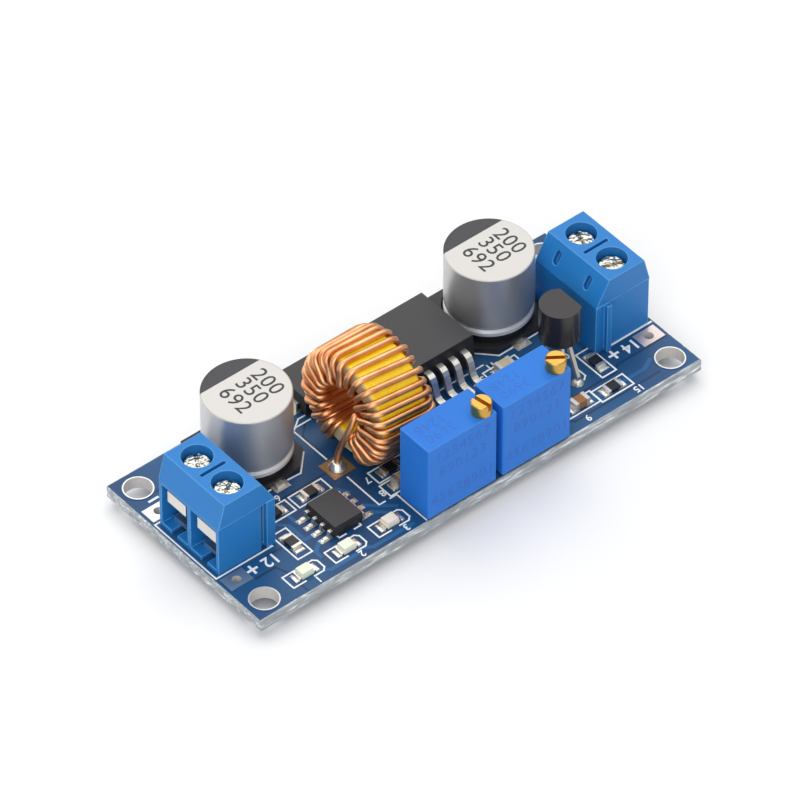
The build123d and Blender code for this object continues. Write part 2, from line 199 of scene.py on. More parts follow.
# Glass fibre laminate, sawn: bare along the board's edges, grey and streaked by its layers, which are thinner on
# the real one and drawn coarser to show. The walls of the holes are paler
laminateLook = {"colour": "#a8afb3", "fibre": "#f4f6f6", "shade": "#8f9598", "holeWall": "#d2cfcb",
                "frontMm": 0.22, "sideMm": 0.06, "stretch": (0.3, 1.0, 2.2), "grainMm": 0.8, "highMm": 0.05,
                "share": 0.2, "detail": 6, "rough": 0.7}


def varnish(name, colour):
    return surface(name, dict(maskLook, colour=colour), Specular_IOR_Level=maskLook["specular"],
                   Coat_Weight=maskLook["coat"], Coat_Roughness=maskLook["coatRoughness"])


copperMaskMaterial = varnish("solder mask over copper", maskLook["overCopper"])[0]
gapMaskMaterial = varnish("solder mask over laminate", maskLook["overLaminate"])[0]
maskMaterial, tree, shader, place = varnish("solder mask, screen printed varnish", maskLook["colour"])
patches = addNode(tree, "TexNoise", {"Vector": place, "Scale": 1000 / maskLook["patchMm"], "Detail": 1.5,
                                     "Roughness": 0.55})["Fac"]
blue = addNode(tree, "ValToRGB", {"Fac": patches}, [(0.35, maskLook["dark"]), (0.65, maskLook["colour"])])[0]
x, y = addNode(tree, "SeparateXYZ", {"Vector": place})[:2]
endwise = addNode(tree, "Math", {0: x}, operation="ABSOLUTE")[0]
sawn = 0.0  # 1 on the board's four sawn sides
for value, limit, operation in ((endwise, boardHi.x - laminateLook["sideMm"] * mm, "GREATER_THAN"),
                                (y, boardHi.y - laminateLook["sideMm"] * mm, "GREATER_THAN"),
                                (y, boardLo.y + laminateLook["frontMm"] * mm, "LESS_THAN")):
    side = addNode(tree, "Math", {0: value, 1: limit}, operation=operation)[0]
    sawn = addNode(tree, "Math", {0: side, 1: sawn}, operation="MAXIMUM")[0]
wall = addNode(tree, "Math", {0: facing(tree, 2), 1: 0.5}, operation="LESS_THAN")[0]
bare = addNode(tree, "Math", {0: sawn, 1: wall}, operation="MAXIMUM")[0]
inHole = addNode(tree, "Math", {0: wall, 1: sawn}, operation="SUBTRACT", use_clamp=True)[0]
stretched = addNode(tree, "Mapping", {"Vector": place, "Scale": laminateLook["stretch"]})[0]
streaks = grain(tree, shader, stretched, laminateLook)
laminate = addNode(tree, "ValToRGB", {"Fac": streaks}, [(0.40, laminateLook["shade"]),
                                                        (0.52, laminateLook["colour"]),
                                                        (0.66, laminateLook["fibre"])])[0]
edgeColour = addNode(tree, "Mix", {0: inHole, 6: laminate, 7: linear(laminateLook["holeWall"])},
                     data_type="RGBA")[2]
boardColour = addNode(tree, "Mix", {0: bare, 6: blue, 7: edgeColour}, data_type="RGBA")[2]
tree.links.new(boardColour, shader.inputs["Base Color"])
coat = addNode(tree, "Math", {0: bare, 1: -maskLook["coat"], 2: maskLook["coat"]}, operation="MULTIPLY_ADD")[0]
tree.links.new(coat, shader.inputs["Coat Weight"])  # bare laminate has no gloss

# Legend ink, screen printed: flat, matt and opaque, so it is the whitest thing on the board
inkMaterial = surface("white legend ink", {"colour": "#f2f5f6", "roughness": 0.6})[0]

# Tin, hot-dipped: a soft bright metal with small waves that break up its reflections
tinLook = {"colour": "#e4e1d9", "roughness": 0.38, "grainMm": 0.9, "highMm": 0.10, "share": 0.35}
tinMaterial = grainy("hot-dipped tin", tinLook, 1)

# Solder, melted and set: whiter than the tin, with dents and small pools that sparkle
solderLook = {"colour": "#f1eee6", "roughness": 0.36, "grainMm": 0.5, "highMm": 0.12, "share": 0.6}
solderMaterial = grainy("set solder", solderLook, 1)

# Bare pads, tin levelled thin over copper: dull, and tinted grey, pink or gold inside three listed rectangles.
# Varnish laps over the outer part of the rings at the corner holes
padLook = {"colour": "#e4e1d9", "roughness": 0.42, "grainMm": 0.8, "highMm": 0.08, "share": 0.4,
           "inset": 2.4, "ringMm": 1.74, "lapMm": 2.0,
           "tints": (("#9fb0ba", (0, 3.6, 5, 8)), ("#d8c9c6", (58, 61.7, 5, 8)),
                     ("#b39a76", (18.5, 23, 10.5, 14.5)))}
padMaterial, tree, shader, place = surface("levelled tin pads", padLook, 1)
x, y = addNode(tree, "SeparateXYZ", {"Vector": place})[:2]
padColour = linear(padLook["colour"])
for tone, (x0, x1, y0, y1) in padLook["tints"]:  # each inside a rectangle, in millimetres from the corner
    lo, hi = onBoard(x0, y0), onBoard(x1, y1)
    inside = 1.0
    for value, limit, operation in ((x, lo.x, "GREATER_THAN"), (x, hi.x, "LESS_THAN"),
                                    (y, lo.y, "GREATER_THAN"), (y, hi.y, "LESS_THAN")):
        side = addNode(tree, "Math", {0: value, 1: limit}, operation=operation)[0]
        inside = addNode(tree, "Math", {0: side, 1: inside}, operation="MINIMUM")[0]
    padColour = addNode(tree, "Mix", {0: inside, 6: padColour, 7: linear(tone)}, data_type="RGBA")[2]
squares = []
for value, edge in ((x, boardHi.x), (y, boardHi.y)):  # the four corner holes are one, folded together
    away = addNode(tree, "Math", {0: value}, operation="ABSOLUTE")[0]
    away = addNode(tree, "Math", {0: away, 1: edge - padLook["inset"] * mm}, operation="SUBTRACT")[0]
    squares.append(addNode(tree, "Math", {0: away, 1: away}, operation="MULTIPLY")[0])
fromHole = addNode(tree, "Math", {0: squares[0], 1: squares[1]}, operation="ADD")[0]
fromHole = addNode(tree, "Math", {0: fromHole}, operation="SQRT")[0]
outer = addNode(tree, "Math", {0: fromHole, 1: padLook["ringMm"] * mm}, operation="GREATER_THAN")[0]
near = addNode(tree, "Math", {0: fromHole, 1: padLook["lapMm"] * mm}, operation="LESS_THAN")[0]
varnished = addNode(tree, "Math", {0: outer, 1: near}, operation="MULTIPLY")[0]
padColour = addNode(tree, "Mix", {0: varnished, 6: padColour, 7: linear(maskLook["colour"])}, data_type="RGBA")[2]
tree.links.new(padColour, shader.inputs["Base Color"])
metal = addNode(tree, "Math", {0: 1.0, 1: varnished}, operation="SUBTRACT")[0]
tree.links.new(metal, shader.inputs["Metallic"])
grain(tree, shader, place, padLook)

# Zinc plated steel, cold headed: warm silver, its dents drawn deep so that the heads glitter in facets
zincLook = {"colour": "#d9d3c2", "roughness": 0.28, "grainMm": 0.55, "highMm": 0.35, "share": 0.8, "detail": 1.5}
zincMaterial = grainy("zinc plated steel", zincLook, 1)

# Polyamide, injection moulded: satin blue with round edges that carry a painted highlight in pale blue, and a
# painted highlight line on the end faces at the step of the shoulder. Its grain is finer than this on the real one,
# and drawn coarser to show
nylonLook = {"colour": "#1d77c0", "edge": "#74c0fa", "roughness": 0.42, "specular": 0.35, "bevelMm": 0.2,
             "edgeHighlightShare": 0.8, "shoulder": 6.8, "seamHighlightMm": 0.07, "seamHighlightShare": 0.85, "grainMm": 0.35,
             "highMm": 0.02, "share": 0.12}
nylonMaterial, tree, shader, place = surface("moulded polyamide", nylonLook,
                                             Specular_IOR_Level=nylonLook["specular"])
height = addNode(tree, "SeparateXYZ", {"Vector": place})[2]
fromLine = addNode(tree, "Math", {0: height, 1: boardTop + nylonLook["shoulder"] * mm}, operation="SUBTRACT")[0]
fromLine = addNode(tree, "Math", {0: fromLine}, operation="ABSOLUTE")[0]
# painted highlight: a thin pale band along the shoulder step, on the end faces only
seamHighlight = addNode(tree, "Math", {0: fromLine, 1: nylonLook["seamHighlightMm"] * mm}, operation="LESS_THAN")[0]
onEnd = addNode(tree, "Math", {0: facing(tree, 1), 1: 0.9}, operation="GREATER_THAN")[0]
seamHighlight = addNode(tree, "Math", {0: seamHighlight, 1: onEnd}, operation="MULTIPLY")[0]
seamHighlight = addNode(tree, "Math", {0: seamHighlight, 1: nylonLook["seamHighlightShare"]}, operation="MULTIPLY")[0]
nylonAndSeamHighlight = addNode(tree, "Mix", {0: seamHighlight, 6: linear(nylonLook["colour"]), 7: linear(nylonLook["edge"])},
                      data_type="RGBA")[2]
grain(tree, shader, place, nylonLook, roundEdgesAndPaintedHighlight(tree, shader, nylonLook, nylonAndSeamHighlight))

# Polyester, moulded: a purer blue than the polyamide, and duller, with a painted highlight in paler blue on its
# round edges. Its grain is drawn coarser too
trimmerLook = {"colour": "#2274d2", "edge": "#7fbdf8", "roughness": 0.48, "specular": 0.3, "bevelMm": 0.18,
               "edgeHighlightShare": 0.6, "grainMm": 0.3, "highMm": 0.02, "share": 0.15}
trimmerMaterial, tree, shader, place = surface("moulded polyester", trimmerLook,
                                               Specular_IOR_Level=trimmerLook["specular"])
grain(tree, shader, place, trimmerLook, roundEdgesAndPaintedHighlight(tree, shader, trimmerLook, linear(trimmerLook["colour"])))

# Aluminium, drawn: a mirror blurred by upright draw lines, wider here than real ones so that they show. The
# pressed bead at its foot and the top are duller and paler: the bead is painted near white as a painted highlight,
# and part of the top is printed black
canLook = {"colour": "#cfcfcf", "bead": "#fbfaf6", "top": "#cecbc7", "print": "#47474a", "roughness": 0.36,
           "beadMm": 1.05, "topMm": 0.16, "segmentMm": 2.72, "stretch": (1.0, 1.0, 0.05), "grainMm": 0.35,
           "highMm": 0.01, "share": 0.3, "metallic": 0.78, "dull": 0.36, "wallRoughness": 0.42,
           "topRoughness": 0.1}  # which the top has on top of the wall's
canMaterial, tree, shader, place = surface("drawn aluminium", canLook, 1)
canLo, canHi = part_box("output_capacitor_can")
y, z = addNode(tree, "SeparateXYZ", {"Vector": place})[1:3]
onTop = addNode(tree, "Math", {0: z, 1: canHi.z - canLook["topMm"] * mm}, operation="GREATER_THAN")[0]
onBead = addNode(tree, "Math", {0: z, 1: canLo.z + canLook["beadMm"] * mm}, operation="LESS_THAN")[0]
segment = (canLo.y + canHi.y) / 2 + canLook["segmentMm"] * mm
behind = addNode(tree, "Math", {0: y, 1: segment}, operation="GREATER_THAN")[0]
printed = addNode(tree, "Math", {0: onTop, 1: behind}, operation="MULTIPLY")[0]
canColour = linear(canLook["colour"])
# painted highlight: the bead is coloured near white; the top's tone and the print are the can's own
for part, tone in ((onBead, "bead"), (onTop, "top"), (printed, "print")):
    canColour = addNode(tree, "Mix", {0: part, 6: canColour, 7: linear(canLook[tone])}, data_type="RGBA")[2]
tree.links.new(canColour, shader.inputs["Base Color"])
dull = addNode(tree, "Math", {0: onTop, 1: onBead}, operation="MAXIMUM")[0]
metal = addNode(tree, "Math", {0: dull, 1: -canLook["dull"], 2: canLook["metallic"]}, operation="MULTIPLY_ADD")[0]
tree.links.new(metal, shader.inputs["Metallic"])
rough = addNode(tree, "Math", {0: onTop, 1: canLook["topRoughness"], 2: canLook["wallRoughness"]},
                operation="MULTIPLY_ADD")[0]
tree.links.new(rough, shader.inputs["Roughness"])
stretched = addNode(tree, "Mapping", {"Vector": place, "Scale": canLook["stretch"]})[0]
grain(tree, shader, stretched, canLook)

# Heat-proof plastic, moulded: black with a faint grain, drawn coarser than the real one, which keeps its flat
# faces from looking wet
baseLook = {"colour": "#242427", "roughness": 0.45, "grainMm": 0.3, "highMm": 0.02, "share": 0.2}
baseMaterial = grainy("black moulded plastic", baseLook)

# Epoxy filled with silica, moulded: matt. Flat tops are painted dark grey as a painted sheen, and sides are near
# black. The silica is too fine to show and is drawn coarser
chipLook = {"colour": "#3c3c3e", "side": "#222224", "roughness": 0.58, "upward": 0.7, "grainMm": 0.16,
            "highMm": 0.03, "share": 0.5, "detail": 3.0}
chipMaterial, tree, shader, place = surface("epoxy moulding compound", chipLook)
# painted sheen: faces turned upwards take the lighter grey, the rest stays near black
upward = addNode(tree, "Math", {0: facing(tree, 2), 1: chipLook["upward"]}, operation="GREATER_THAN")[0]
chipSheenPaintedOnTop = addNode(tree, "Mix", {0: upward, 6: linear(chipLook["side"]), 7: linear(chipLook["colour"])},
                     data_type="RGBA")[2]
tree.links.new(chipSheenPaintedOnTop, shader.inputs["Base Color"])
grain(tree, shader, place, chipLook)

# The same epoxy from a polished mould: the regulator's round side shines, and its top is matt and painted a
# little lighter as a painted sheen
glossLook = {"colour": "#2a2829", "top": "#353032", "roughness": 0.24, "upward": 0.7, "sideRoughness": 0.22,
             "topRoughness": 0.3}
glossChipMaterial, tree, shader, place = surface("polished epoxy compound", glossLook)
# painted sheen: faces turned upwards take the lighter colour
upward = addNode(tree, "Math", {0: facing(tree, 2), 1: glossLook["upward"]}, operation="GREATER_THAN")[0]
glossSheenPaintedOnTop = addNode(tree, "Mix", {0: upward, 6: linear(glossLook["colour"]), 7: linear(glossLook["top"])},
                      data_type="RGBA")[2]
tree.links.new(glossSheenPaintedOnTop, shader.inputs["Base Color"])
rough = addNode(tree, "Math", {0: upward, 1: glossLook["topRoughness"], 2: glossLook["sideRoughness"]},
                operation="MULTIPLY_ADD")[0]
tree.links.new(rough, shader.inputs["Roughness"])

# Brass, turned: a warm yellow shine, slightly broken by a grain that stands for tool marks too fine to show
brassLook = {"colour": "#d0a452", "roughness": 0.33, "grainMm": 0.4, "highMm": 0.03, "share": 0.3}
brassMaterial = grainy("turned brass", brassLook, 1)

# Copper wire, enamelled: metal under clear amber varnish, so a faint sharp shine lies over a broad orange one.
# The ends are tinned down to the pads
copperLook = {"colour": "#f4b783", "deep": "#e39a66", "tin": "#dcd2c0", "roughness": 0.34, "coat": 0.3,
              "coatRoughness": 0.2, "tintMm": 2.5, "tinnedMm": 1.25}
copperMaterial, tree, shader, place = surface("enamelled copper", copperLook, 1, Coat_Weight=copperLook["coat"],
                                              Coat_Roughness=copperLook["coatRoughness"])
clouds = addNode(tree, "TexNoise", {"Vector": place, "Scale": 1000 / copperLook["tintMm"], "Detail": 2.0,
                                    "Roughness": 0.55})["Fac"]
tint = addNode(tree, "ValToRGB", {"Fac": clouds}, [(0.35, copperLook["deep"]), (0.65, copperLook["colour"])])[0]
height = addNode(tree, "SeparateXYZ", {"Vector": place})[2]
tinned = addNode(tree, "Math", {0: height, 1: boardTop + copperLook["tinnedMm"] * mm}, operation="LESS_THAN")[0]
wireColour = addNode(tree, "Mix", {0: tinned, 6: tint, 7: linear(copperLook["tin"])}, data_type="RGBA")[2]
tree.links.new(wireColour, shader.inputs["Base Color"])

# Iron powder, pressed and coated with epoxy: a grainy bright yellow ring with one face left dull white
coreLook = {"colour": "#ffe41e", "deep": "#ffd60e", "white": "#cfc39c", "roughness": 0.4, "whiteFromMm": 0.02,
            "whiteMm": 0.25, "grainMm": 0.5, "highMm": 0.05, "share": 0.4, "detail": 3.0}
coreMaterial, tree, shader, place = surface("epoxy coated iron powder", coreLook)
coreLo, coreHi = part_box("inductor_core")
powder = grain(tree, shader, place, coreLook)
yellow = addNode(tree, "ValToRGB", {"Fac": powder}, [(0.35, coreLook["deep"]), (0.6, coreLook["colour"])])[0]
along = addNode(tree, "SeparateXYZ", {"Vector": place})[0]
whiteFace = addNode(tree, "MapRange", {"Value": along, "From Min": coreLo.x + coreLook["whiteFromMm"] * mm,
                                       "From Max": coreLo.x + coreLook["whiteMm"] * mm, "To Min": 1.0,
                                       "To Max": 0.0})[0]
coreColour = addNode(tree, "Mix", {0: whiteFace, 6: yellow, 7: linear(coreLook["white"])}, data_type="RGBA")[2]
tree.links.new(coreColour, shader.inputs["Base Color"])

# Chip parts, each between two tinned ends that start where the real metal does. Resistors are glazed black and
# shine a little, fired ceramic is matt and tan, and the lamps' cast resin is smooth and cream. Each row holds the
# nodes, the bodies' colours, the length of an end and the body's roughness
endLook = {"colour": "#dcd9d1", "grainMm": 0.3, "highMm": 0.03, "share": 0.4}
partLook = {"thick film resistor": ("chip_resistor", ["#1c1c20"] * 6, 0.36, 0.35),
            "fired ceramic": ("chip_capacitor", ["#9a6a3a", "#cdbb95", "#b39a72"], 0.46, 0.5),
            "lamp resin": ("indicator", ["#e9efd6", "#eaf0dc", "#f3e9dc"], 0.28, 0.25)}


def partSurface(name, node, colour, endMm, roughness):
    lo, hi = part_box(node)
    size = hi - lo
    axis = 0 if size.x > size.y else 1
    material, tree, shader, place = surface(name, {"colour": colour, "roughness": roughness})
    along = addNode(tree, "SeparateXYZ", {"Vector": place})[axis]
    along = addNode(tree, "Math", {0: along, 1: (lo[axis] + hi[axis]) / 2}, operation="SUBTRACT")[0]
    along = addNode(tree, "Math", {0: along}, operation="ABSOLUTE")[0]
    atEnd = addNode(tree, "Math", {0: along, 1: size[axis] / 2 - endMm * mm}, operation="GREATER_THAN")[0]
    mixed = addNode(tree, "Mix", {0: atEnd, 6: linear(colour), 7: linear(endLook["colour"])}, data_type="RGBA")[2]
    tree.links.new(mixed, shader.inputs["Base Color"])
    tree.links.new(atEnd, shader.inputs["Metallic"])
    grain(tree, shader, place, endLook)
    return material


paint(maskMaterial, "pcb")
paint(padMaterial, "pcb_plating")
paint(solderMaterial, "underside_solder")
paint(nylonMaterial, "out_terminal_housing", "in_terminal_housing")
for side in ("out", "in"):
    for pole in ("plus", "minus"):
        paint(tinMaterial, f"{side}_{pole}_contact", f"{side}_{pole}_pressure_plate")
        paint(zincMaterial, f"{side}_{pole}_screw")
for side in ("output", "input"):
    paint(canMaterial, f"{side}_capacitor_can")
    paint(baseMaterial, f"{side}_capacitor_base")
    paint(solderMaterial, f"{side}_capacitor_leads")
for side in ("left", "right"):
    paint(trimmerMaterial, f"{side}_trimmer_body")
    paint(brassMaterial, f"{side}_trimmer_screw")
    paint(tinMaterial, f"{side}_trimmer_pins")
paint(coreMaterial, "inductor_core")
paint(copperMaterial, "inductor_winding")
for chip in ("power_chip", "rectifier", "amplifier", "regulator"):
    paint(glossChipMaterial if chip == "regulator" else chipMaterial, f"{chip}_body")
    paint(tinMaterial, f"{chip}_leads")
for name, (nodes, colours, endMm, roughness) in partLook.items():
    for k, colour in enumerate(colours, 1):
        paint(partSurface(f"{name} {k}", f"{nodes}_{k}", colour, endMm, roughness), f"{nodes}_{k}")
print("materials on")

# Winding: one round wire, bent round the core in wide soft curves. The turns lie closePitch degrees apart, and
# spread wider about spreadAt. Every other turn is raised, because the hole has no room for them side by side. The
# gap to the core is nil, so that the round wire stays inside the box of the solid one, which has flat sides
windingLook = {"wire": 0.75, "gap": 0.0, "hole": 7.7, "firstTurn": -73.5, "lastTurn": 240.0, "closePitch": 8.8,
               "spread": 4.2, "spreadAt": 105, "spreadOver": 45, "bendMm": 1.5, "bendSteps": 8, "sides": 3,
               "waver": 0.5, "bulge": 0.12, "shoulder": 0.22, "slack": 0.05}
# Where a turn crosses a face: how far it stands out there and, for a raised one, where it climbs over the others
faceLook = {"innerOut": 0.12, "climbAt": 4.7, "climbOut": 0.1, "climbRoom": 4.4, "hemOut": 0.15, "hemRoom": 0.1,
            "holeRoom": 3.1, "holeShare": 0.6}
# The two leads, as radius, degrees and distance out from the face. The left one goes back through the hole
leadLook = {"rightPad": (30.95, 14.3), "leftPad": (20.8, 12.6), "rightRise": 0.9, "leftRise": 1.9, "tip": -1.5,
            "start": (6.2, 1.3), "over": ((5.3, 0.2), (3.7, 1.3), (2.8, 1.45)), "enter": (1.95, -4, 0.3),
            "through": (2.25, 160), "down": ((2.6, 158, 0.3), (2.4, 192, 0.85), (2.9, 226, 1.45))}
coreMid = (coreLo + coreHi) / 2
coreHalf = (coreHi.x - coreLo.x) / 2 / mm
coreOuter = (coreHi.z - coreLo.z) / 2 / mm
wireR = windingLook["wire"] / 2
faceRun = coreHalf + windingLook["gap"] + wireR
runOut = coreOuter + windingLook["gap"] + wireR
runIn = windingLook["hole"] / 2 - windingLook["gap"] - wireR


def pitch(angle):  # degrees to the next turn
    away = (angle - windingLook["spreadAt"]) / windingLook["spreadOver"]
    return windingLook["closePitch"] + windingLook["spread"] * math.exp(-away ** 2)


def lift(step, radius):  # how high a raised turn rides over its neighbours at this radius
    clear = windingLook["wire"] + windingLook["slack"]
    return math.sqrt(max(clear ** 2 - (math.radians(step) * radius) ** 2, 0))


def spot(radius, angle, along):
    a = math.radians(angle)
    return coreMid + Vector((along, radius * math.cos(a), radius * math.sin(a))) * mm


def facePath(angle, side, step, raised):  # over one face, from the rim to the hole
    out = faceRun + windingLook["shoulder"] + windingLook["bulge"] * random.random()
    path = [spot(runOut, angle, side * out)]
    if not raised:
        return path + [spot(runIn - windingLook["slack"], angle, side * (faceRun + faceLook["innerOut"]))]
    climb = faceRun + faceLook["climbOut"] + lift(step, faceLook["climbRoom"])
    path.append(spot(faceLook["climbAt"], angle, side * climb))
    hem = faceRun + faceLook["hemOut"] + lift(step, runIn + faceLook["hemRoom"])
    inner = runIn - lift(step, faceLook["holeRoom"]) * faceLook["holeShare"]
    return path + [spot(inner, angle, side * hem)]


def windingPath():
    leftPad, rightPad = leadLook["leftPad"], leadLook["rightPad"]
    radius, out = leadLook["start"]
    path = [onBoard(*rightPad, leadLook["tip"]), onBoard(*rightPad, leadLook["rightRise"]),
            spot(radius, windingLook["firstTurn"], faceRun + out)]
    angle, raised = windingLook["firstTurn"], False
    while angle < windingLook["lastTurn"]:
        step = pitch(angle)
        waver = random.uniform(-1, 1) * windingLook["waver"]
        right = facePath(angle, 1, step, raised)
        left = facePath(angle + step / 2 + waver, -1, step, raised)
        path += right if angle > windingLook["firstTurn"] else right[1:]
        path += reversed(left)
        angle += step
        raised = not raised
    path += facePath(angle, 1, step, False)[:1]
    path += [spot(radius, angle, faceRun + out) for radius, out in leadLook["over"]]
    radius, turn, out = leadLook["enter"]
    path += [spot(radius, angle + turn, faceRun + out), spot(*leadLook["through"], -coreHalf)]
    path += [spot(radius, at, -faceRun - out) for radius, at, out in leadLook["down"]]
    return path + [onBoard(*leftPad, leadLook["leftRise"]), onBoard(*leftPad, leadLook["tip"])]


def rounded(path, bendMm, steps):  # each corner becomes a curve that starts up to bendMm before it
    out = [path[0]]
    for before, at, after in zip(path, path[1:], path[2:]):
        a = at + (before - at).normalized() * min(bendMm * mm, (at - before).length / 2)
        b = at + (after - at).normalized() * min(bendMm * mm, (after - at).length / 2)
        for k in range(steps + 1):
            t = k / steps
            p = a.lerp(at, t).lerp(at.lerp(b, t), t)
            if (p - out[-1]).length > 0.01 * mm:  # two points in one place would pinch the wire
                out.append(p)
    return out + [path[-1]]


def wirePiece(name, path, radius, sides):
    curve = bpy.data.curves.new(name, "CURVE")
    curve.dimensions = "3D"
    curve.bevel_depth = radius
    curve.bevel_resolution = sides
    curve.use_fill_caps = True
    line = curve.splines.new("POLY")
    line.points.add(len(path) - 1)
    for point, p in zip(line.points, path):
        point.co = (*p, 1)
    obj = bpy.data.objects.new(name, curve)
    bpy.context.collection.objects.link(obj)
    pick(obj)
    bpy.ops.object.convert(target="MESH")
    obj = bpy.context.object
    bpy.ops.object.shade_smooth()
    return obj


winding = wirePiece("copper_winding", rounded(windingPath(), windingLook["bendMm"], windingLook["bendSteps"]),
                    wireR * mm, windingLook["sides"])
dress(winding, copperMaterial)
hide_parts("inductor_winding")
print("winding made:", len(winding.data.polygons), "faces")

# Under the mask: tracks stand a hair proud, and the gaps between the copper fields read dark
runLook = {"track": 0.5, "trackHigh": 0.03, "gap": 0.26, "gapHigh": 0.012, "hair": 0.0025}
tracks = [[(12.1, 5.1), (10.9, 4.2), (10.9, 3.4)], [(12.1, 6.35), (11.2, 6.35), (11.2, 9.0), (10.2, 10.2)],
          [(19.3, 6.35), (20.0, 5.7), (21.9, 4.1)], [(19.3, 5.1), (20.6, 3.9), (20.6, 3.4)],
          [(9.3, 2.0), (10.6, 1.2), (14.2, 1.2)], [(15.0, 1.6), (16.2, 0.9), (21.5, 0.9)],
          [(12.1, 8.9), (12.1, 10.2)], [(19.3, 8.9), (18.6, 10.1)], [(52.6, 8.2), (52.6, 10.5)],
          [(47.9, 3.1), (50.3, 2.8)], [(53.0, 2.9), (56.0, 2.9), (57.4, 3.6)]]
gaps = [[(3.6, 5.25), (6.2, 5.25), (6.7, 3.8), (6.7, 0.5)], [(6.3, 7.1), (9.2, 7.1)],
        [(61.2, 5.3), (54.2, 5.3), (53.3, 4.5), (44.0, 4.5)], [(57.0, 1.55), (45.0, 1.55), (44.2, 2.3)],
        [(9.6, 12.7), (20.4, 12.7)], [(20.9, 15.5), (20.9, 18.6), (22.6, 20.2)], [(43.5, 12.2), (43.5, 14.2)],
        [(3.2, 22.2), (8.6, 22.2)], [(58.5, 21.9), (54.6, 21.9)]]


def strip(a, b, width, high):
    a, b = Vector(a), Vector(b)
    way = (b - a).normalized()
    middle = (a + b) / 2
    deselect()
    bpy.ops.mesh.primitive_cube_add(size=1, location=onBoard(middle.x, middle.y, high / 2),
                                    rotation=(0, 0, math.atan2(way.y, way.x)))
    obj = bpy.context.object
    obj.scale = Vector(((b - a).length + width, width, high)) * mm
    return obj


def line(points, width, high, first):  # tops differ by a hair, so that no two coincide where they cross
    ends = zip(points, points[1:])
    return [strip(a, b, width, high - runLook["hair"] * ((k + first) % 4)) for k, (a, b) in enumerate(ends)]


for name, places, width, high, material in (
        ("masked_tracks", tracks, runLook["track"], runLook["trackHigh"], copperMaskMaterial),
        ("masked_gaps", gaps, runLook["gap"], runLook["gapHigh"], gapMaskMaterial)):
    runs = []
    for points in places:
        runs += line(points, width, high, len(runs))
    dress(joinAll(runs, name), material)
print("tracks made")

# Legend: outlines round the parts, polarity marks and plain numbers
inkLook = {"width": 0.18, "inputWidth": 0.22, "high": 0.055, "size": 1.3, "endSize": 2.1, "weight": 0.012,
           "markWidth": 0.28, "markHalf": 0.55, "longer": 1.25, "wider": 0.36, "lampLonger": 1.15,
           "lampWider": 0.34, "lampCut": 0.4, "lampGap": 0.6}
strokes = []


def inkLine(points, width=inkLook["width"]):
    strokes.extend(line(points, width, inkLook["high"], len(strokes)))


def outline(node, longer, wider, cut=0.0, gap=0.0):
    lo, hi = (local(p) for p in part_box(node))
    tall = hi.y - lo.y > hi.x - lo.x
    gx, gy = (wider, longer) if tall else (longer, wider)
    x0, x1, y0, y1 = lo.x - gx, hi.x + gx, lo.y - gy, hi.y + gy
    if gap:  # two brackets, open beside the part
        mid = (x0 + x1) / 2
        inkLine([(mid - gap, y0), (x0, y0), (x0, y1), (mid - gap, y1)])
        inkLine([(mid + gap, y0), (x1 - cut, y0), (x1, y0 + cut), (x1, y1 - cut), (x1 - cut, y1), (mid + gap, y1)])
    else:
        inkLine([(x0, y0), (x1, y0), (x1, y1), (x0, y1), (x0, y0)])


for k in range(1, 7):
    outline(f"chip_resistor_{k}", inkLook["longer"], inkLook["wider"])
for k in range(1, 4):
    outline(f"chip_capacitor_{k}", inkLook["longer"], inkLook["wider"])
    outline(f"indicator_{k}", inkLook["lampLonger"], inkLook["lampWider"], inkLook["lampCut"], inkLook["lampGap"])
inkLine([(22.15, 5.34), (23.05, 5.34), (23.05, 0.4)])  # left of the trimmers
inkLine([(20.66, 10.7), (20.62, 5.34), (21.4, 5.34)])
inkLine([(20.66, 14.28), (20.62, 19.8), (22.2, 20.95), (23.2, 20.95)])  # left of the inductor
inkLine([(20.83, 20.12), (23.2, 20.12)])
inkLine([(0.3, 18.3), (0.3, 7.88), (7.95, 7.88)])  # output terminal
inkLine([(7.6, 8.25), (7.95, 7.88)])
inkLine([(0.3, 18.3), (8.9, 18.3)])
inkLine([(55.2, 8.0), (61.4, 8.0)], inkLook["inputWidth"])  # input terminal
inkLine([(61.2, 18.3), (54.9, 18.3)], inkLook["inputWidth"])
inkLine([(31.6, 14.55), (42.9, 14.55)])  # behind the power chip's leads
inkLine([(43.36, 16.57), (45.26, 14.56), (47.2, 14.58)])  # input capacitor
inkLine([(49.4, 14.58), (51.15, 14.6), (53.1, 16.4)])
inkLine([(9.4, 16.6), (11.4, 14.5), (13.1, 14.5)])  # output capacitor
inkLine([(15.5, 14.5), (17.2, 14.4), (19.45, 16.65)])
inkLine([(50.4, 7.7), (50.4, 6.2), (49.9, 5.8)])  # regulator
inkLine([(14.2, 4.9), (14.2, 4.25), (15.1, 4.25)])  # front of the amplifier
inkLine([(17.2, 4.9), (17.2, 4.25), (16.3, 4.25)])
for x, y, plus in ((4.1, 6.5, True), (2.6, 21.4, False), (54.9, 6.7, True), (59.2, 21.2, False)):
    inkLine([(x - inkLook["markHalf"], y), (x + inkLook["markHalf"], y)], inkLook["markWidth"])
    if plus:
        inkLine([(x, y - inkLook["markHalf"]), (x, y + inkLook["markHalf"])], inkLook["markWidth"])


def figures(text, place, rotation, size, high, weight, space=1.0):  # plain numbers as a thin flat piece
    deselect()
    bpy.ops.object.text_add(location=place, rotation=rotation)
    obj = bpy.context.object
    obj.data.body = text
    obj.data.size = size * mm
    obj.data.space_character = space
    obj.data.align_x = "CENTER"
    obj.data.align_y = "CENTER"
    obj.data.resolution_u = 3
    obj.data.offset = size * mm * weight
    obj.data.extrude = high * mm / 2
    pick(obj)
    bpy.ops.object.convert(target="MESH")
    obj = bpy.context.object
    settle(obj)
    return obj


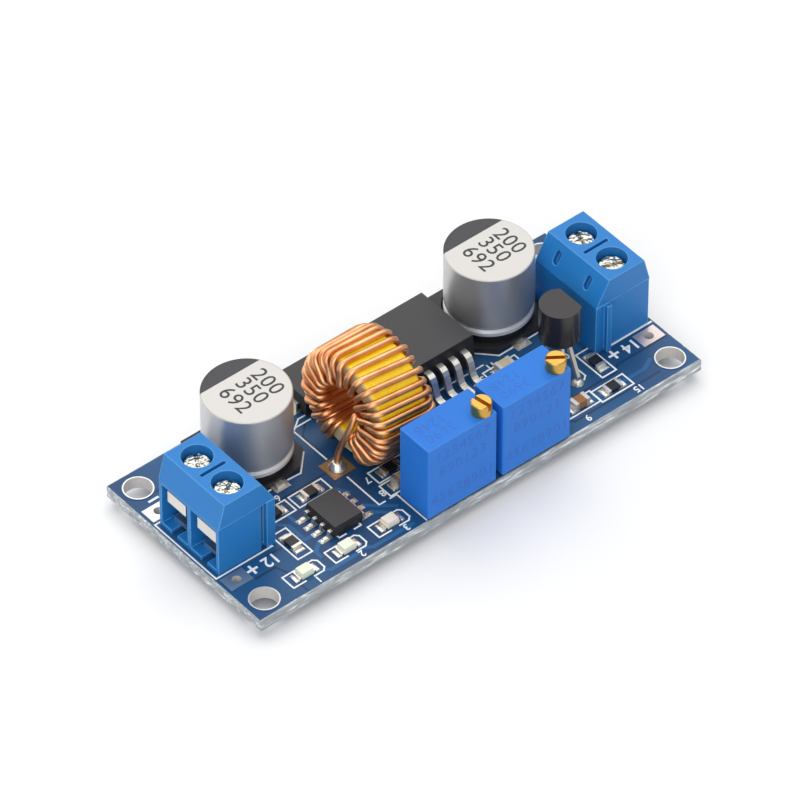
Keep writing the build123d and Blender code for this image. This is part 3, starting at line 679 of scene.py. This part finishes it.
upsideDown = (0, 0, math.pi)
smallNumbers = (("1", 8.6, 0.95), ("2", 14.6, 0.95), ("3", 20.7, 0.95), ("4", 7.4, 9.3), ("6", 12.9, 13.1),
                ("7", 22.0, 9.0), ("8", 22.0, 6.5), ("15", 53.6, 1.05), ("9", 46.4, 1.1), ("10", 51.1, 9.9),
                ("11", 43.5, 13.9), ("5", 41.5, 12.9))
endNumbers = (("12", 6.5, 6.4), ("14", 57.2, 6.6))  # as text and place, like the small ones
for numbers, size in ((smallNumbers, inkLook["size"]), (endNumbers, inkLook["endSize"])):
    for text, x, y in numbers:
        place = onBoard(x, y, inkLook["high"] / 2)
        strokes.append(figures(text, place, upsideDown, size, inkLook["high"], inkLook["weight"]))
dress(joinAll(strokes, "legend"), inkMaterial)
print("legend made")

# Capacitor tops: three rows of plain numbers, printed in black ink that shines less than the metal round it
topLook = {"colour": "#2e2e31", "roughness": 0.45, "size": 2.7, "aside": -0.4, "high": 0.012, "weight": 0.002,
           "space": 1.05, "rows": (("200", 2.55), ("350", 0.4), ("692", -1.9))}
printMaterial = surface("black print on aluminium", topLook)[0]
for side in ("output", "input"):
    lo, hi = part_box(f"{side}_capacitor_can")
    middle = local((lo + hi) / 2)
    marks = []
    for text, along in topLook["rows"]:
        place = onBoard(middle.x + along, middle.y + topLook["aside"], local(hi).z + topLook["high"] / 2)
        marks.append(figures(text, place, (0, 0, -math.pi / 2), topLook["size"], topLook["high"],
                             topLook["weight"], topLook["space"]))
    dress(joinAll(marks, f"{side}_capacitor_print"), printMaterial)
print("capacitor tops printed")

# Trimmers: plain figures on the top and front. Moulded ones read darker by their own shade, so these are a thin
# film painted darker in their place, as painted shade
sunkLook = {"colour": "#1f62bd", "roughness": 0.5, "top": 1.8, "front": 2.0, "film": 0.012, "weight": -0.012,
            "space": 1.12, "topRows": (("1248", 2.85, 3.2), ("3690", 2.95, 1.6)),
            "frontRows": (("1234567", 8.65), ("890123", 6.3), ("45678901", 2.6))}
figureShadeMaterial = surface("moulded figures as painted shade", sunkLook)[0]
for side in ("left", "right"):
    lo, hi = (local(p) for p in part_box(f"{side}_trimmer_body"))
    marks = []
    for text, x, y in sunkLook["topRows"]:
        place = onBoard(lo.x + x, lo.y + y, hi.z + sunkLook["film"] / 2)
        marks.append(figures(text, place, upsideDown, sunkLook["top"], sunkLook["film"], sunkLook["weight"],
                             sunkLook["space"]))
    for text, z in sunkLook["frontRows"]:
        place = onBoard((lo.x + hi.x) / 2, lo.y - sunkLook["film"] / 2, z)
        marks.append(figures(text, place, (math.pi / 2, 0, 0), sunkLook["front"], sunkLook["film"],
                             sunkLook["weight"], sunkLook["space"]))
    dress(joinAll(marks, f"{side}_trimmer_figures"), figureShadeMaterial)
print("trimmers marked")

# Solder fillets, one at each chip end and lead foot: width, length and height, sloping down to the toe. The rows
# of chips hold the nodes, how many there are and the fillet's height
filletLook = {"length": 0.55, "widthShare": 0.96, "toe": 0.12, "edge": 0.07, "tuck": 0.02, "pad": 0.05,
              "smooth": 50, "chips": (("chip_resistor", 6, 0.34), ("chip_capacitor", 3, 0.6), ("indicator", 3, 0.3)),
              "ampPitch": 1.27, "ampFirst": 0.21, "ampTuck": 0.12, "ampFoot": (0.5, 0.5, 0.24),
              "powerPitch": 1.7, "powerRow": 10.25, "powerFoot": (0.9, 0.45, 0.4)}


def fillet(x, y, way, width, length, height):
    lo, hi = Vector((0, -width / 2 * mm, 0)), Vector((length * mm, width / 2 * mm, height * mm))
    deselect()
    bpy.ops.mesh.primitive_cube_add(size=1, location=(lo + hi) / 2)
    base = bpy.context.object
    base.scale = hi - lo
    settle(base)
    for v in base.data.vertices:
        v.select = v.co.x > length * mm / 2 and v.co.z > height * mm / 2
    bpy.ops.object.mode_set(mode="EDIT")
    bpy.ops.mesh.select_mode(type="VERT")
    bpy.ops.transform.translate(value=(0, 0, filletLook["toe"] * mm - height * mm))
    bpy.ops.mesh.select_all(action="SELECT")
    bpy.ops.mesh.bevel(offset=filletLook["edge"] * mm, segments=2, affect="EDGES")
    bpy.ops.object.mode_set(mode="OBJECT")
    base.rotation_euler.z = math.atan2(way[1], way[0])
    base.location = onBoard(x, y, filletLook["pad"])
    return base


fillets = []
tuck = filletLook["tuck"]
for nodes, count, height in filletLook["chips"]:
    for k in range(1, count + 1):
        lo, hi = (local(p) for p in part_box(f"{nodes}_{k}"))
        mid = (lo + hi) / 2
        if hi.x - lo.x > hi.y - lo.y:
            width = hi.y - lo.y
            ends = [(lo.x + tuck, mid.y, (-1, 0)), (hi.x - tuck, mid.y, (1, 0))]
        else:
            width = hi.x - lo.x
            ends = [(mid.x, lo.y + tuck, (0, -1)), (mid.x, hi.y - tuck, (0, 1))]
        for x, y, way in ends:
            fillets.append(fillet(x, y, way, width * filletLook["widthShare"], filletLook["length"], height))
ampLo, ampHi = (local(p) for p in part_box("amplifier_leads"))
for k in range(4):
    y = ampLo.y + filletLook["ampFirst"] + k * filletLook["ampPitch"]
    fillets.append(fillet(ampLo.x + filletLook["ampTuck"], y, (-1, 0), *filletLook["ampFoot"]))
    fillets.append(fillet(ampHi.x - filletLook["ampTuck"], y, (1, 0), *filletLook["ampFoot"]))
powerLo, powerHi = (local(p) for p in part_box("power_chip_body"))
for k in range(5):
    x = (powerLo.x + powerHi.x) / 2 + (k - 2) * filletLook["powerPitch"]
    fillets.append(fillet(x, filletLook["powerRow"], (0, -1), *filletLook["powerFoot"]))
solder = joinAll(fillets, "solder_fillets")
pick(solder)
bpy.ops.object.shade_smooth_by_angle(angle=math.radians(filletLook["smooth"]))
dress(solder, solderMaterial)

# Solder cones at the upright leads, as height above the board, foot and neck radius, and how tall they are
coneLook = {"left": (0.05, 1.1, 0.5, 0.8), "right": (0.05, 0.95, 0.5, 0.7), "regulator": (0.0, 0.78, 0.36, 0.55),
            "regulatorAt": (49.0, 8.4), "regulatorPitch": 2.55, "edge": 0.12, "smooth": 60}


def cone(x, y, low, foot, neck, height):
    deselect()
    bpy.ops.mesh.primitive_cone_add(vertices=24, radius1=foot * mm, radius2=neck * mm, depth=height * mm,
                                    location=onBoard(x, y, low + height / 2))
    obj = bpy.context.object
    bpy.ops.object.mode_set(mode="EDIT")
    bpy.ops.mesh.select_all(action="SELECT")
    bpy.ops.mesh.bevel(offset=coneLook["edge"] * mm, segments=3, affect="EDGES")
    bpy.ops.object.mode_set(mode="OBJECT")
    return obj


cones = [cone(*leadLook["leftPad"], *coneLook["left"]), cone(*leadLook["rightPad"], *coneLook["right"])]
x, y = coneLook["regulatorAt"]
cones += [cone(x, y + k * coneLook["regulatorPitch"], *coneLook["regulator"]) for k in (-1, 0, 1)]
cones = joinAll(cones, "solder_cones")
pick(cones)
bpy.ops.object.shade_smooth_by_angle(angle=math.radians(coneLook["smooth"]))
dress(cones, solderMaterial)
print("solder made")

# Floor: white paper, matt. What sees it straight or in a reflection sees it a little brighter, so that it meets
# the white behind it, and the object's shadow stays
stageLook = {"floor": "#ebebec", "size": 4, "below": 0.05, "lift": 0.045, "horizon": 0.3, "zenith": 0.75,
             "zenithFrom": 0.8}
white = (1, 1, 1, 1)
deselect()
bpy.ops.mesh.primitive_plane_add(size=stageLook["size"], location=(0, 0, -stageLook["below"] * mm))
floor = bpy.context.object
floor.name = "floor"
floorMaterial = bpy.data.materials.new("white paper floor")
floorMaterial.use_nodes = True
tree = floorMaterial.node_tree
tree.nodes.clear()
paper = addNode(tree, "BsdfDiffuse", {"Color": linear(stageLook["floor"])})[0]
glow = addNode(tree, "Emission", {"Color": white, "Strength": stageLook["lift"]})[0]
rays = addNode(tree, "LightPath")
seen = rays["Is Camera Ray"]
for kind in ("Is Glossy Ray", "Is Transmission Ray"):
    seen = addNode(tree, "Math", {0: seen, 1: rays[kind]}, operation="MAXIMUM")[0]
both = addNode(tree, "AddShader", {0: paper, 1: glow})[0]
shown = addNode(tree, "MixShader", {0: seen, 1: paper, 2: both})[0]
addNode(tree, "OutputMaterial", {"Surface": shown})
floor.data.materials.append(floorMaterial)

# World: soft studio light that grows towards the zenith, and white where the camera sees it
world = bpy.data.worlds.new("studio")
bpy.context.scene.world = world
world.use_nodes = True
tree = world.node_tree
tree.nodes.clear()
height = addNode(tree, "SeparateXYZ", {"Vector": addNode(tree, "TexCoord")["Generated"]})[2]
sky = addNode(tree, "MapRange", {"Value": height, "From Min": 0.0, "From Max": stageLook["zenithFrom"],
                                 "To Min": stageLook["horizon"], "To Max": stageLook["zenith"]})[0]
light = addNode(tree, "Background", {"Color": white, "Strength": sky})[0]
backdrop = addNode(tree, "Background", {"Color": white, "Strength": 1.0})[0]
straight = addNode(tree, "LightPath")["Is Camera Ray"]
mixed = addNode(tree, "MixShader", {0: straight, 1: light, 2: backdrop})[0]
addNode(tree, "OutputWorld", {"Surface": mixed})

# Lamps, as place, what they aim at, width, height and watts
lampLook = {"key": ((0.10, 0.15, 0.46), (0, 0, 0), 0.6, 0.6, 1.5),
            "front fill": ((-0.35, -0.30, 0.28), (0, 0, 0), 0.45, 0.45, 1.1),
            "rear strip": ((-0.10, 0.45, 0.16), (0, 0, 0.01), 0.40, 0.12, 0.35)}
for name, (place, aim, width, height, watts) in lampLook.items():
    deselect()
    bpy.ops.object.light_add(type="AREA", location=place)
    lamp = bpy.context.object
    lamp.name = name
    lamp.data.shape = "RECTANGLE"
    lamp.data.size = width
    lamp.data.size_y = height
    lamp.data.energy = watts
    lamp.rotation_euler = (Vector(aim) - Vector(place)).to_track_quat("-Z", "Y").to_euler()

# Camera: the viewing angle, distance and lens that a perspective solution gave, for an 800 by 800 frame
cameraLook = {"azimuth": -39.80, "elevation": 44.56, "distance": 0.8869, "aim": (0.0017, 0.0031, 0.0027),
              "lens": 368.8, "sensor": 36, "farEnd": 10}
azimuth, elevation = math.radians(cameraLook["azimuth"]), math.radians(cameraLook["elevation"])
back = Vector((math.sin(azimuth) * math.cos(elevation), -math.cos(azimuth) * math.cos(elevation),
               math.sin(elevation)))
deselect()
bpy.ops.object.camera_add(location=Vector(cameraLook["aim"]) + back * cameraLook["distance"])
camera = bpy.context.object
camera.rotation_euler = (-back).to_track_quat("-Z", "Y").to_euler()
camera.data.lens = cameraLook["lens"]
camera.data.sensor_width = cameraLook["sensor"]
camera.data.clip_end = cameraLook["farEnd"]
bpy.context.scene.camera = camera
bpy.context.scene.view_settings.view_transform = "Standard"

print("scene ready")
